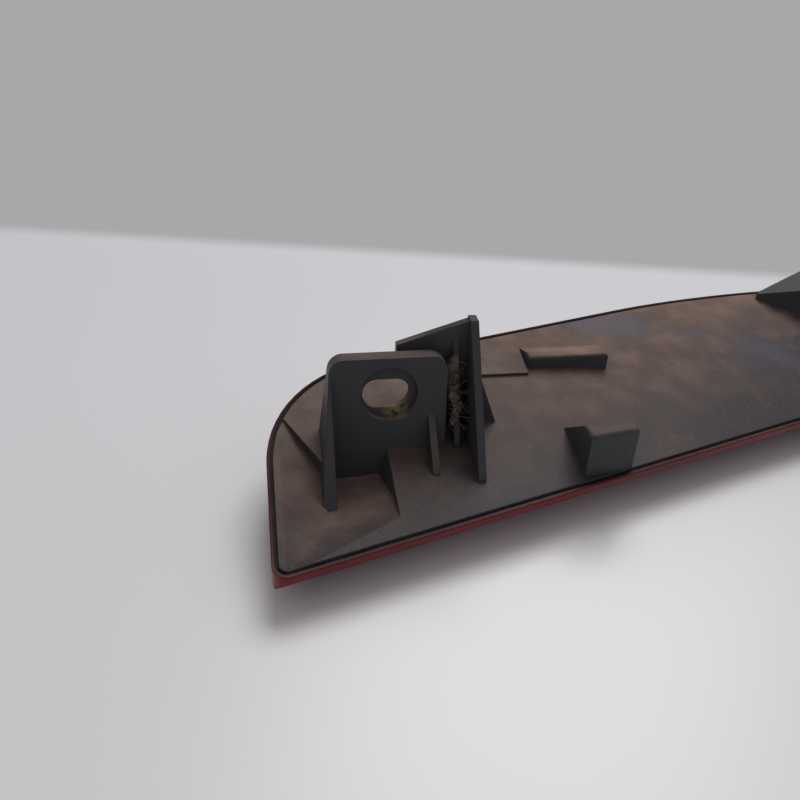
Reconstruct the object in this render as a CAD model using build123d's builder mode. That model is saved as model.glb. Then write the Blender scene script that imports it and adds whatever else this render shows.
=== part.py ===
from build123d import *
import math
import os

# Third brake light, lying on its lens. X runs along the lamp, Y across it, Z up out of its back.
# The lamp is an arched band: two straight wings joined by one bend. "Across" is a distance from
# the near edge, square to it, and "along" is a distance from the centre plane, along the band.

# ------------------------------------------------------------------ driving dimensions, in mm
# Band, seen from above
HALF_LENGTH = 123.5          # centre plane to either end
BAND_WIDTH = 37.2
WING_ANGLE = 17.0            # sweep of each wing, degrees
NEAR_BEND = 113.0            # radius of the near edge in the bend
FAR_BEND = 187.0             # and of the far edge
NEAR_CORNER = 2.0
FAR_CORNER = 25.0

# Back surface: it rises evenly from the near edge to the far edge
NEAR_HEIGHT = 6.2            # above the surface that the lens lies on
RISE = 0.1975                # height gained per millimetre across

# Lens
LENS_WALL = 1.8
LENS_FACE = 2.0              # thickness of the flat face
LENS_RIM = 0.5               # upright part of its near side
LENS_LEAN = 4.9              # how far the near side leans in under the lamp
FAR_BEVEL = 2.5
END_BEVEL = 2.2
END_LIFT = 1.7               # the face curves up by this much at each end
FLAT_HALF = 80.0             # and is flat this far from the centre plane

# Sealing bead between lens and housing
BEAD_INSET = 0.45            # also the width of the lip that stands around the bead
BEAD_WIDTH = 0.5
BEAD_TOP = 0.35              # below the back surface
LIP_TOP = 0.15               # lens lip below the back surface
LENS_DROP = 0.9              # ledge of the lens, under the bead and the housing

# Housing
WALL = 1.8
SKIRT_CLEARANCE = 0.25       # between the lens wall and the locating skirt
SKIRT_THICK = 1.2
SKIRT_DEPTH = 1.5

# Fixing tab at each end; its group is placed from the hole
TAB_X = 105.0                # hole from the centre plane
TAB_ACROSS = 17.66           # hole from the near edge
HOLE_HEIGHT = 18.6
SEAT_RADIUS = 4.25           # round seat for the fastener's head
SEAT_DEPTH = 1.2
SLOT_SIZE = (7.2, 4.6)       # opening through the seat's floor
SLOT_CORNER = 2.2
SLOT_OFFSET = (-0.35, -0.35)
TAB_LEAN = 6.0               # backwards, degrees
TAB_THICK = 2.8
TAB_LEFT = 9.0               # hole to the tab's sides and top
TAB_RIGHT = 8.7
TAB_TOP = 5.7
TAB_CORNER = 2.3
TAB_ROOT = 0.8               # how deep the tab and its ribs run into the plate

# Board, reflector and inner optic
BOARD_CLEARANCE = 0.36       # board to the underside of the plate, at the board's near edge
BOARD_THICK = 1.0
BOARD_NEAR = 16.0
BOARD_FAR = 32.0
BOARD_HALF = 97.0
TRAY_THICK = 0.9
TRAY_GAP = 0.1
TRAY_FLARE = 6.2             # reach of the flared near side of the reflector
OPTIC_GAP = 1.0              # optic to the reflector's plate, kept by its pegs
OPTIC_THICK = 1.0
LED_COUNT = 12
LED_PITCH = 16.0
LED_ACROSS = 24.0
LED_SIZE = (3.5, 2.8, 0.8)
LED_WINDOW_GAP = 0.5
OPTIC_DOME = 3.2
OPTIC_DOME_RISE = 0.7
PEG_ALONG = (-56.0, -16.0, 16.0, 56.0)
PEG_ACROSS = 29.0
PEG_RADIUS = 0.8
CHIP_ACROSS = 26.0
RESISTOR_ALONG = (-64.0, -40.0, 40.0, 64.0)
DIODE_ALONG = -16.0
CAPACITOR_ALONG = 16.0

# Screws
SCREW_ALONG = (-82.0, -30.0, 30.0, 82.0)
SCREW_ACROSS = 29.0
SCREW_RADIUS = 1.0
SCREW_LENGTH = 5.2           # under the head
HEAD_RADIUS = 1.8
HEAD_HEIGHT = 0.8
BOSS_RADIUS = 2.6
FIT_GAP = 0.05
HOLE_GAP = 0.25

# Connector tower and socket
TOWER_SPREAD = 11.6          # from the roof's edge to its foot, on each side
TOWER_STEP = 1.3             # upright part at its foot
ROOF_EDGE = 0.9              # roof around the flange, along the lamp
ROOF_LIP = 0.85              # and across it
ROOF_HEIGHT = 19.4
TOWER_FAR = 33.2             # across, rear face
SOCKET_LENGTH = 15.0
SOCKET_WIDTH = 8.4
SOCKET_WALL = 1.3
SOCKET_DEPTH = 8.0           # of the cavity that takes the plug
SOCKET_FLOOR = 2.0
FLANGE_OUT = 1.2             # flange past the socket, along the lamp
FLANGE_LIP = 0.8             # and across it
FLANGE_THICK = 1.2
SEAL_THICK = 0.8
PIN_SIZE = 0.8
PIN_PITCH = 6.0
PIN_REACH = 6.0              # into the cavity
LATCH_WIDTH = 5.0
LATCH_OUT = 0.8
LATCH_DOWN = 3.0             # below the shroud's rim
LATCH_TALL = 1.6

# Vent
VENT_X = 50.0
VENT_ACROSS = 28.0
VENT_HOLE = 2.0
VENT_CAP = 4.5
VENT_CAP_THICK = 1.2

# Features of the end group, as x and y from the tab's hole
POCKET_RIB = -9.7            # right face of the cross rib at the tab's left side
POCKET_STEP = -0.3           # right wall of the pocket
POCKET_FLOOR = 4.8           # depth of the pocket at the tab
POCKET_DRAFT = 1.5           # lean of the right wall over that depth
POCKET_NEAR = (0.3, -13.9)   # where the pocket's floor runs out, at the right wall
POCKET_CORNER = (-16.4, -23.2)
POCKET_LEVEL_AT = (-5.0, -1.4)
RAMP_EDGE = -16.6            # the ramp left of the rib starts on this line
RAMP_FALL = 0.43
RAMP_STEP = ((-20.0, 13.6), (-11.8, -1.0))
POCKET_WALL = 1.5
CROSS_RIB = (-11.0, 1.3)     # left face and thickness
CROSS_RIB_NEAR = -10.0
CROSS_RIB_FAR = 3.6
SMALL_RIB = (5.9, 1.1)
SMALL_RIB_REACH = 6.6
SMALL_RIB_RISE = 6.0
FIN = (12.5, 1.2)
FIN_NEAR = -8.2
FIN_TOP = 28.2               # height of its tip
CROSS_WALL_Y = 4.6
CROSS_WALL_THICK = 1.3
CROSS_WALL_LEFT = 1.6
CROSS_WALL_LEFT_TOP = 24.3
CROSS_WALL_NOTCH = (4.4, 20.0)       # its left edge steps in below this height
CROSS_WALL_RIGHT = 18.2
CROSS_WALL_RIGHT_TOP = 21.6
SPUR = (10.2, 0.9)
SPUR_NEAR = -1.2
SPUR_TOP = 25.0
BAR = (27.6, 17.9, 14.6, 5.6)        # left, front, length, depth
BAR_HEIGHT = 2.3
PAD = (18.2, 15.6, 9.0, 7.0)
PAD_HEIGHT = 0.5
BLOCK = (29.6, -7.4, 8.3, 10.4)
BLOCK_HEIGHT = 7.2
BLOCK_TURN = 1.3             # its front runs back by this much, left to right
RAISED_ROUND = 0.7           # rounding of the tops of the bar and the block

EXTRA = 8.0                  # overrun of cutting and forming solids

# ------------------------------------------------------------------ layout worked out from them
SWEEP = math.radians(WING_ANGLE)
SLOPE = math.tan(SWEEP)
CORNER_RELIEF = NEAR_CORNER * (SLOPE + 1 / math.cos(SWEEP) - 1)
NEAR_LOW = -HALF_LENGTH * SLOPE + CORNER_RELIEF
FAR_HIGH = (BAND_WIDTH - FAR_BEND) / math.cos(SWEEP) + FAR_BEND
RIDGE = -(NEAR_LOW + FAR_HIGH) / 2          # y where the near edges of the wings would meet
PLATE_INSET = BEAD_INSET + BEAD_WIDTH
LENS_FOOT = NEAR_HEIGHT - LENS_DROP - LENS_RIM
STEEPNESS = LENS_FOOT / LENS_LEAN
SKIRT_INSET = LENS_WALL + 0.3 + SKIRT_CLEARANCE
BOARD_TOP = NEAR_HEIGHT + RISE * BOARD_NEAR - WALL - BOARD_CLEARANCE
BOARD_Z = BOARD_TOP - BOARD_THICK
TRAY_TOP = BOARD_Z - TRAY_GAP
TRAY_BOTTOM = TRAY_TOP - TRAY_THICK
OPTIC_TOP = TRAY_BOTTOM - OPTIC_GAP
OPTIC_Z = OPTIC_TOP - OPTIC_THICK
FLANGE_LENGTH = SOCKET_LENGTH + 2 * FLANGE_OUT
FLANGE_WIDTH = SOCKET_WIDTH + 2 * FLANGE_LIP
ROOF_HALF = FLANGE_LENGTH / 2 + ROOF_EDGE
TOWER_HALF = ROOF_HALF + TOWER_SPREAD
TOWER_NEAR = TOWER_FAR - FLANGE_WIDTH - 2 * ROOF_LIP


def rail(across, x, radius=None):
    """Y of the line that lies this far across the band, at x; it bends evenly with the near edge."""
    radius = radius or NEAR_BEND + across
    ridge = RIDGE + across / math.cos(SWEEP)
    if abs(x) < radius * math.sin(SWEEP):
        return ridge - radius / math.cos(SWEEP) + math.sqrt(radius**2 - x**2)
    return ridge - abs(x) * SLOPE


def back(across):
    """Height of the back surface."""
    return NEAR_HEIGHT + RISE * across


def across_at(x, y):
    """How far across a wing a point lies."""
    return (y - rail(0, x)) * math.cos(SWEEP)


def surface(x, y):
    """Height of the back surface over a point of a wing."""
    return back(across_at(x, y))


def on_rail(along, across):
    """Plan position and turn, in degrees, this far along the band."""
    side = math.copysign(1, along)
    radius = NEAR_BEND + across
    turn = min(abs(along) / radius, SWEEP)
    past = abs(along) - radius * turn
    x = radius * math.sin(turn) + past * math.cos(SWEEP)
    return (side * x, rail(across, x)), -side * math.degrees(turn)


def places(spots, across):
    """Locations along the band, each turned with it."""
    found = []
    for along in spots:
        (x, y), turn = on_rail(along, across)
        found.append(Location((x, y, 0), (0, 0, turn)))
    return found


TAB_Y = rail(0, TAB_X) + TAB_ACROSS / math.cos(SWEEP)


def bent_line(across, half, radius=None):
    """Lines and arc of a rail, for the line builder around it."""
    bend_x = (radius or NEAR_BEND + across) * math.sin(SWEEP)
    ends = [(side * half, rail(across, half)) for side in (-1, 1)]
    bends = [(side * bend_x, rail(across, bend_x, radius)) for side in (-1, 1)]
    Line(ends[0], bends[0])
    ThreePointArc(bends[0], (0, rail(across, 0, radius)), bends[1])
    Line(bends[1], ends[1])


def strip(near, far, half, far_radius=None):
    """Sketch of the band between two rails, cut square at x = half on both sides."""
    with BuildSketch() as plan:
        with BuildLine():
            bent_line(near, half)
            bent_line(far, half, far_radius)
            for end in (-half, half):
                Line((end, rail(near, half)), (end, rail(far, half)))
        make_face()
    return plan.sketch


def outline(inset):
    """Sketch of the lamp's outline, brought in by inset."""
    half = HALF_LENGTH - inset
    far = BAND_WIDTH - inset
    with BuildSketch() as plan:
        add(strip(inset, far, half, FAR_BEND - inset))
        fillet(plan.vertices().group_by(Axis.Y)[0], max(NEAR_CORNER - inset, 0.4))
        far_y = rail(far, half)
        fillet([v for v in plan.vertices() if abs(v.Y - far_y) < 0.01], FAR_CORNER - inset)
    return plan.sketch


path_half = HALF_LENGTH + EXTRA
with BuildLine() as near_path:
    bent_line(0, path_half)

SECTION = Plane(
    origin=(-path_half, rail(0, path_half), 0),
    x_dir=(-math.sin(SWEEP), math.cos(SWEEP), 0),
    z_dir=(math.cos(SWEEP), math.sin(SWEEP), 0),
)


def band(points):
    """Solid of a section, given as (across, height) points, carried along the lamp."""
    with BuildPart() as run:
        with BuildSketch(SECTION):
            with BuildLine():
                Polyline(*points, close=True)
            make_face()
        sweep(path=near_path.wires()[0])
    return run.part


def layer(inset, upper, lower):
    """Solid inside the outline, between two depths under the back surface."""
    low = -EXTRA
    high = BAND_WIDTH + EXTRA
    bound = band(
        [
            (low, back(low) - upper),
            (high, back(high) - upper),
            (high, back(high) - lower),
            (low, back(low) - lower),
        ]
    )
    with BuildPart() as block:
        add(bound)
        with BuildSketch(Plane.XY.offset(-30)):
            add(outline(inset))
        extrude(amount=90, mode=Mode.INTERSECT)
    return block.part


def under_lens(lift, bevel):
    """Everything under the lens face, whose ends curve up; lift raises it for the inside."""
    run = HALF_LENGTH - FLAT_HALF
    radius = (run**2 + END_LIFT**2) / (2 * END_LIFT)

    def curve(reach):
        return FLAT_HALF + reach, lift + radius - math.sqrt(radius**2 - reach**2)

    middle_x, middle_z = curve(run / 2)
    end_x, end_z = curve(run - bevel)
    edge_x = HALF_LENGTH + EXTRA
    edge_z = end_z + edge_x - end_x
    with BuildPart() as below:
        with BuildSketch(Plane.XZ):
            with BuildLine():
                for side in (-1, 1):
                    ThreePointArc((side * FLAT_HALF, lift), (side * middle_x, middle_z), (side * end_x, end_z))
                    Polyline((side * end_x, end_z), (side * edge_x, edge_z), (side * edge_x, -30))
                Line((-edge_x, -30), (edge_x, -30))
                Line((-FLAT_HALF, lift), (FLAT_HALF, lift))
            make_face()
        extrude(amount=100, both=True)
    return below.part


# ------------------------------------------------------------------ lens
lens_outside = band(
    [
        (0, back(0) - LIP_TOP),
        (0, LENS_FOOT),
        (LENS_LEAN, 0),
        (BAND_WIDTH - FAR_BEVEL, 0),
        (BAND_WIDTH, FAR_BEVEL),
        (BAND_WIDTH, back(BAND_WIDTH) - LIP_TOP),
    ]
)


def inside_lens(inset):
    """Room inside the lens, this far in from its outside; its near side leans as the lens does."""
    offset = LENS_FOOT + inset * math.hypot(1, STEEPNESS)
    return band(
        [
            (inset, 30),
            (inset, offset - STEEPNESS * inset),
            ((offset - LENS_FACE) / STEEPNESS, LENS_FACE),
            (BAND_WIDTH - inset - 1.0, LENS_FACE),
            (BAND_WIDTH - inset, LENS_FACE + 1.2),
            (BAND_WIDTH - inset, 30),
        ]
    )


with BuildPart() as lens_cavity:
    add(inside_lens(LENS_WALL))
    with BuildSketch(Plane.XY.offset(-30)):
        add(outline(LENS_WALL))
    extrude(amount=90, mode=Mode.INTERSECT)
    add(under_lens(LENS_FACE, 0), mode=Mode.SUBTRACT)

with BuildPart() as lens:
    add(lens_outside)
    with BuildSketch(Plane.XY.offset(-30)):
        add(outline(0))
    extrude(amount=90, mode=Mode.INTERSECT)
    add(under_lens(0, END_BEVEL), mode=Mode.SUBTRACT)
    add(lens_cavity.part, mode=Mode.SUBTRACT)
    add(layer(BEAD_INSET, -EXTRA, LENS_DROP), mode=Mode.SUBTRACT)

# ------------------------------------------------------------------ sealing bead
bead_layer = layer(BEAD_INSET, BEAD_TOP, LENS_DROP)
with BuildPart() as weld_bead:
    add(bead_layer)
    with BuildSketch(Plane.XY.offset(-30)):
        add(outline(PLATE_INSET))
    extrude(amount=90, mode=Mode.SUBTRACT)

# ------------------------------------------------------------------ end group of the housing
def at_tab(x, y):
    """Plan position on the left wing, from the hole."""
    return -TAB_X + x, TAB_Y + y


def tab_spot(x, y, depth=0):
    """Point under the back surface by depth, from the hole."""
    px, py = at_tab(x, y)
    return Vector(px, py, surface(px, py) - depth)


def floor_plane(p, q, r, drop=0):
    """Plane through three points, facing up, lowered by drop."""
    normal = (q - p).cross(r - p).normalized()
    if normal.Z < 0:
        normal = -normal
    return Plane(origin=p - Vector(0, 0, drop), z_dir=normal)


def prism(corners, low, high):
    """Upright solid on a plan outline given from the hole."""
    with BuildPart() as block:
        with BuildSketch(Plane.XY.offset(low)):
            with BuildLine():
                Polyline(*[at_tab(x, y) for x, y in corners], close=True)
            make_face()
        extrude(amount=high - low)
    return block.part


def above(block, planes):
    """What of a solid lies above each plane."""
    with BuildPart() as kept:
        add(block)
        for plane in planes:
            split(bisect_by=plane, keep=Keep.TOP)
    return kept.part


def rib(left, thick, profile):
    """Rib square to the tab, from a (y, height) profile, y from the hole."""
    with BuildPart() as blade:
        with BuildSketch(Plane.YZ.offset(-TAB_X + left)):
            with BuildLine():
                Polyline(*[(TAB_Y + y, height) for y, height in profile], close=True)
            make_face()
        extrude(amount=thick)
    return blade.part


def raised(spec, height, turn=0):
    """Wedge on the back: upright front of this height, level at the front and sloping to the rear."""
    left, front, length, depth = spec
    front_z = tab_spot(left, front).Z
    rear_z = tab_spot(left, front + depth).Z
    profile = [
        (front, 0),
        (front, front_z + height),
        (front + 0.3 * depth, front_z + height),
        (front + depth, rear_z + 0.1),
        (front + depth, 0),
    ]
    plan = [
        (left, front),
        (left + length, front + turn),
        (left + length, front + depth),
        (left, front + depth),
    ]
    with BuildPart() as wedge:
        add(rib(left, length, profile))
        add(prism(plan, 0, 40), mode=Mode.INTERSECT)
        fillet(edges().group_by(Axis.Z)[-1], RAISED_ROUND)
        add(layer(PLATE_INSET, -2 * height, TAB_ROOT), mode=Mode.INTERSECT)
    return wedge.part


corner = tab_spot(*POCKET_CORNER)
near_end = tab_spot(*POCKET_NEAR)
deep_point = tab_spot(*POCKET_LEVEL_AT, POCKET_FLOOR)
ramp_points = (
    tab_spot(RAMP_EDGE, 0),
    tab_spot(RAMP_EDGE, -20),
    tab_spot(RAMP_EDGE + 5, 0, 5 * RAMP_FALL),
)
step_far, step_near = RAMP_STEP
step_slope = (step_near[1] - step_far[1]) / (step_near[0] - step_far[0])
ramp_corner = (POCKET_RIB, step_near[1] + step_slope * (POCKET_RIB - step_near[0]))
ramp_plan = [step_far, ramp_corner, (POCKET_RIB, -30), (step_far[0], -30)]
deep_plan = [(POCKET_RIB - 0.5, 0.5), (POCKET_STEP, 0.5), (POCKET_STEP, -30), (POCKET_RIB - 0.5, -30)]
shell_left = POCKET_RIB - POCKET_WALL
shell_right = POCKET_STEP + POCKET_WALL
deep_shell_plan = [(shell_left, 2.0), (shell_right, 2.0), (shell_right, -30), (shell_left, -30)]
ramp_shell_plan = [
    (step_far[0], step_far[1] + 2 * POCKET_WALL),
    (POCKET_RIB, ramp_corner[1] + 2 * POCKET_WALL),
    (POCKET_RIB, -30),
    (step_far[0], -30),
]


def pocket_floors(drop):
    """The planes that bound the deep part and the ramp from below."""
    run_out = floor_plane(corner, near_end, deep_point, drop)
    level = Plane(origin=deep_point - Vector(0, 0, drop), z_dir=(0, 0, 1))
    ramp = floor_plane(*ramp_points, drop)
    return [run_out, level], [run_out, ramp]


deep_floors, ramp_floors = pocket_floors(0)
step_foot = tab_spot(POCKET_STEP - POCKET_DRAFT, 0, POCKET_FLOOR)
deep_floors.append(floor_plane(tab_spot(POCKET_STEP, 0), near_end, step_foot))
with BuildPart() as pocket:
    add(above(prism(deep_plan, 0, 40), deep_floors))
    add(above(prism(ramp_plan, 0, 40), ramp_floors))

under_deep, under_ramp = pocket_floors(POCKET_WALL)
skirt_room = inside_lens(SKIRT_INSET)
with BuildPart() as pocket_shell:
    add(above(prism(deep_shell_plan, 0, 40), under_deep))
    add(above(prism(ramp_shell_plan, 0, 40), under_ramp))
    add(layer(SKIRT_INSET, LENS_DROP, 30), mode=Mode.INTERSECT)
    add(skirt_room, mode=Mode.INTERSECT)

LEAN = math.radians(TAB_LEAN)
TAB_FACE = Plane(
    origin=(-TAB_X, TAB_Y, HOLE_HEIGHT),
    x_dir=(1, 0, 0),
    z_dir=(0, -math.cos(LEAN), math.sin(LEAN)),
)
floor_drop = HOLE_HEIGHT - deep_point.Z + TAB_ROOT
plate_drop = HOLE_HEIGHT - tab_spot(TAB_RIGHT, 0).Z + TAB_ROOT
with BuildPart() as tab:
    with BuildSketch(TAB_FACE):
        with BuildLine():
            Polyline(
                (-TAB_LEFT, TAB_TOP),
                (TAB_RIGHT, TAB_TOP),
                (TAB_RIGHT, -plate_drop),
                (POCKET_STEP, -plate_drop),
                (POCKET_STEP, -floor_drop),
                (-TAB_LEFT, -floor_drop),
                close=True,
            )
        make_face()
        corners = vertices().group_by(Axis.Y)[-1]
        fillet(corners, TAB_CORNER)
    extrude(amount=-TAB_THICK)
    with BuildSketch(TAB_FACE):
        Circle(SEAT_RADIUS)
    extrude(amount=-SEAT_DEPTH, mode=Mode.SUBTRACT)
    with BuildSketch(TAB_FACE):
        with Locations(SLOT_OFFSET):
            RectangleRounded(*SLOT_SIZE, SLOT_CORNER)
    extrude(amount=-TAB_THICK, mode=Mode.SUBTRACT)

rib_floor = deep_point.Z - TAB_ROOT
tab_top_z = HOLE_HEIGHT + TAB_TOP * math.cos(LEAN) - TAB_CORNER
tab_top_y = (tab_top_z - HOLE_HEIGHT) * math.tan(LEAN)
straight_rib = rib(
    CROSS_RIB[0],
    CROSS_RIB[1] + 1.0,
    [
        (CROSS_RIB_NEAR, rib_floor),
        (CROSS_RIB_NEAR, rib_floor + TAB_ROOT + 0.5),
        (tab_top_y, tab_top_z),
        (tab_top_y + TAB_THICK, tab_top_z),
        (CROSS_RIB_FAR, tab_spot(CROSS_RIB[0], CROSS_RIB_FAR).Z + 0.5),
        (CROSS_RIB_FAR, rib_floor),
    ],
)
rib_taper = Plane(
    origin=(-TAB_X - TAB_LEFT, TAB_Y, tab_top_z),
    z_dir=(tab_top_z - rib_floor, 0, CROSS_RIB[0] + TAB_LEFT),
)
cross_rib = above(straight_rib, [rib_taper])
foot_z = tab_spot(SMALL_RIB[0], 0).Z
small_rib = rib(
    *SMALL_RIB,
    [
        (-SMALL_RIB_REACH, foot_z - TAB_ROOT - RISE * SMALL_RIB_REACH),
        (-SMALL_RIB_REACH, foot_z - RISE * SMALL_RIB_REACH + 0.3),
        (0, foot_z + SMALL_RIB_RISE),
        (TAB_THICK / 2, foot_z + SMALL_RIB_RISE),
        (TAB_THICK / 2, foot_z - TAB_ROOT),
    ],
)
fin_foot = tab_spot(FIN[0], FIN_NEAR).Z
wall_rear = CROSS_WALL_Y + CROSS_WALL_THICK
fin = rib(
    *FIN,
    [
        (FIN_NEAR, fin_foot - TAB_ROOT),
        (FIN_NEAR, fin_foot + 0.5),
        (CROSS_WALL_Y - 0.8, FIN_TOP),
        (wall_rear, FIN_TOP),
        (wall_rear, tab_spot(FIN[0], wall_rear).Z - TAB_ROOT),
    ],
)
spur_foot = tab_spot(SPUR[0], SPUR_NEAR).Z
spur = rib(
    *SPUR,
    [
        (SPUR_NEAR, spur_foot - TAB_ROOT),
        (SPUR_NEAR, spur_foot + 1.0),
        (CROSS_WALL_Y, SPUR_TOP),
        (wall_rear, tab_spot(SPUR[0], wall_rear).Z - TAB_ROOT),
    ],
)
wall_foot = tab_spot(CROSS_WALL_RIGHT, CROSS_WALL_Y).Z
notch_x, notch_z = CROSS_WALL_NOTCH
with BuildPart() as cross_wall:
    with BuildSketch(Plane.XZ.offset(-TAB_Y - CROSS_WALL_Y)):
        with BuildLine():
            Polyline(
                (-TAB_X + notch_x, wall_foot - TAB_ROOT),
                (-TAB_X + notch_x, notch_z),
                (-TAB_X + CROSS_WALL_LEFT, notch_z + notch_x - CROSS_WALL_LEFT),
                (-TAB_X + CROSS_WALL_LEFT, CROSS_WALL_LEFT_TOP),
                (-TAB_X + FIN[0] + FIN[1], FIN_TOP),
                (-TAB_X + FIN[0] + FIN[1], CROSS_WALL_RIGHT_TOP),
                (-TAB_X + CROSS_WALL_RIGHT, wall_foot + 0.3),
                (-TAB_X + CROSS_WALL_RIGHT, wall_foot - TAB_ROOT),
                close=True,
            )
        make_face()
    extrude(amount=-CROSS_WALL_THICK)

pad_left, pad_front, pad_length, pad_depth = PAD
pad_corners = [
    (pad_left, pad_front),
    (pad_left + pad_length, pad_front + 0.6),
    (pad_left + pad_length, pad_front + pad_depth),
    (pad_left + 1.5, pad_front + pad_depth),
]
with BuildPart() as end_group:
    add(tab.part)
    add(cross_rib)
    add(small_rib)
    add(fin)
    add(spur)
    add(cross_wall.part)
    add(raised(BAR, BAR_HEIGHT))
    add(raised(BLOCK, BLOCK_HEIGHT, BLOCK_TURN))
with BuildPart() as pad:
    add(prism(pad_corners, 0, 40))
    add(layer(PLATE_INSET, -PAD_HEIGHT, LENS_DROP), mode=Mode.INTERSECT)
    mirror(about=Plane.YZ)

# ------------------------------------------------------------------ housing
plate = layer(PLATE_INSET, 0, LENS_DROP)
core = layer(SKIRT_INSET, LENS_DROP, WALL + SKIRT_DEPTH) & skirt_room
hollow = layer(SKIRT_INSET + SKIRT_THICK, WALL, 30)
rear_y = rail(TOWER_FAR, 0)
front_y = rail(TOWER_NEAR, 0)
tower_plan = [
    (-TOWER_HALF, rear_y),
    (-TOWER_HALF, rear_y - 2),
    (-ROOF_HALF, front_y),
    (ROOF_HALF, front_y),
    (TOWER_HALF, rear_y - 2),
    (TOWER_HALF, rear_y),
]
tower_foot = back(TOWER_NEAR)
ramp_foot = back(TOWER_FAR)
with BuildPart() as tower:
    with BuildSketch(Plane.XZ.offset(-front_y)):
        with BuildLine():
            Polyline(
                (-TOWER_HALF, tower_foot - WALL),
                (-TOWER_HALF, ramp_foot + TOWER_STEP),
                (-ROOF_HALF, ROOF_HEIGHT),
                (ROOF_HALF, ROOF_HEIGHT),
                (TOWER_HALF, ramp_foot + TOWER_STEP),
                (TOWER_HALF, tower_foot - WALL),
                close=True,
            )
        make_face()
    extrude(amount=-(rear_y - front_y))
    with BuildSketch():
        with BuildLine():
            Polyline(*tower_plan, close=True)
        make_face()
    extrude(amount=60, mode=Mode.INTERSECT)
    fillet(edges().group_by(Axis.Z)[-1], 0.8)
    add(layer(SKIRT_INSET, -ROOF_HEIGHT, WALL), mode=Mode.INTERSECT)

socket_y = (front_y + rear_y) / 2
vent_y = rail(0, VENT_X) + VENT_ACROSS / math.cos(SWEEP)
vent_plane = Plane(
    origin=(VENT_X, vent_y, back(VENT_ACROSS)),
    z_dir=(-RISE * math.sin(SWEEP), -RISE * math.cos(SWEEP), 1),
)
screw_places = places(SCREW_ALONG, SCREW_ACROSS)
with BuildPart() as housing:
    add(plate)
    add(core)
    add(hollow, mode=Mode.SUBTRACT)
    add(pocket_shell.part)
    mirror(pocket_shell.part, about=Plane.YZ)
    add(pocket.part, mode=Mode.SUBTRACT)
    mirror(pocket.part, about=Plane.YZ, mode=Mode.SUBTRACT)
    add(end_group.part)
    mirror(end_group.part, about=Plane.YZ)
    add(pad.part)
    add(tower.part)
    # hollow of the tower, up to the underside of its roof
    with BuildSketch(Plane.XY.offset(BOARD_TOP)):
        with Locations((0, socket_y)):
            Rectangle(2 * ROOF_HALF - 2 * WALL + 3.0, rear_y - front_y - 2 * WALL)
    extrude(amount=ROOF_HEIGHT - WALL - BOARD_TOP, mode=Mode.SUBTRACT)
    with BuildSketch(Plane.XY.offset(ROOF_HEIGHT - 2 * WALL)):
        with Locations((0, socket_y)):
            RectangleRounded(SOCKET_LENGTH + 2 * FIT_GAP, SOCKET_WIDTH + 2 * FIT_GAP, 1.0)
    extrude(amount=3 * WALL, mode=Mode.SUBTRACT)
    # bosses for the board screws
    with BuildSketch(Plane.XY.offset(BOARD_TOP)):
        with Locations(*screw_places):
            Circle(BOSS_RADIUS)
    extrude(amount=back(SCREW_ACROSS) - WALL / 2 - BOARD_TOP)
    with BuildSketch(Plane.XY.offset(BOARD_TOP)):
        with Locations(*screw_places):
            Circle(SCREW_RADIUS + FIT_GAP)
    extrude(amount=TRAY_BOTTOM + SCREW_LENGTH + HOLE_GAP - BOARD_TOP, mode=Mode.SUBTRACT)
    # vent hole, square to the wing
    with Locations(vent_plane):
        Cylinder(VENT_HOLE, 3 * WALL, mode=Mode.SUBTRACT)

# ------------------------------------------------------------------ reflector
led_spots = [(i - (LED_COUNT - 1) / 2) * LED_PITCH for i in range(LED_COUNT)]
led_places = places(led_spots, LED_ACROSS)
tray_near = BOARD_NEAR - 0.6
tray_far = BOARD_FAR + 0.1
flare_z = OPTIC_Z - 0.5
tray_section = [
    (tray_near - TRAY_FLARE - 2.6, flare_z),
    (tray_near - TRAY_FLARE, flare_z),
    (tray_near, TRAY_BOTTOM),
    (tray_far - TRAY_THICK, TRAY_BOTTOM),
    (tray_far - TRAY_THICK, flare_z),
    (tray_far, flare_z),
    (tray_far, TRAY_TOP),
    (tray_near - TRAY_THICK / 3, TRAY_TOP),
    (tray_near - TRAY_FLARE - TRAY_THICK / 3, flare_z + TRAY_THICK),
    (tray_near - TRAY_FLARE - 2.6, flare_z + TRAY_THICK),
]
with BuildPart() as reflector_tray:
    add(band(tray_section))
    with BuildSketch():
        Rectangle(2 * BOARD_HALF + 2, 200)
    extrude(amount=30, mode=Mode.INTERSECT)
    with BuildSketch(Plane.XY.offset(TRAY_BOTTOM)):
        with Locations(*led_places):
            Rectangle(LED_SIZE[0] + 2 * LED_WINDOW_GAP, LED_SIZE[1] + 2 * LED_WINDOW_GAP)
        with Locations(*screw_places):
            Circle(SCREW_RADIUS + HOLE_GAP)
    extrude(amount=TRAY_THICK, mode=Mode.SUBTRACT)

# ------------------------------------------------------------------ inner optic
optic_near = tray_near - TRAY_THICK
optic_far = tray_far - TRAY_THICK - 0.4
with BuildPart() as inner_optic:
    with BuildSketch(Plane.XY.offset(OPTIC_Z)):
        add(strip(optic_near, optic_far, BOARD_HALF - 1))
    extrude(amount=OPTIC_THICK)
    with BuildSketch(Plane.XY.offset(OPTIC_TOP)):
        with Locations(*led_places):
            Circle(OPTIC_DOME)
    extrude(amount=OPTIC_DOME_RISE)
    fillet(faces().sort_by(Axis.Z)[-LED_COUNT:].edges(), OPTIC_DOME_RISE * 0.9)
    with BuildSketch(Plane.XY.offset(OPTIC_TOP)):
        with Locations(*places(PEG_ALONG, PEG_ACROSS)):
            Circle(PEG_RADIUS)
    extrude(amount=TRAY_BOTTOM - OPTIC_TOP)

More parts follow.
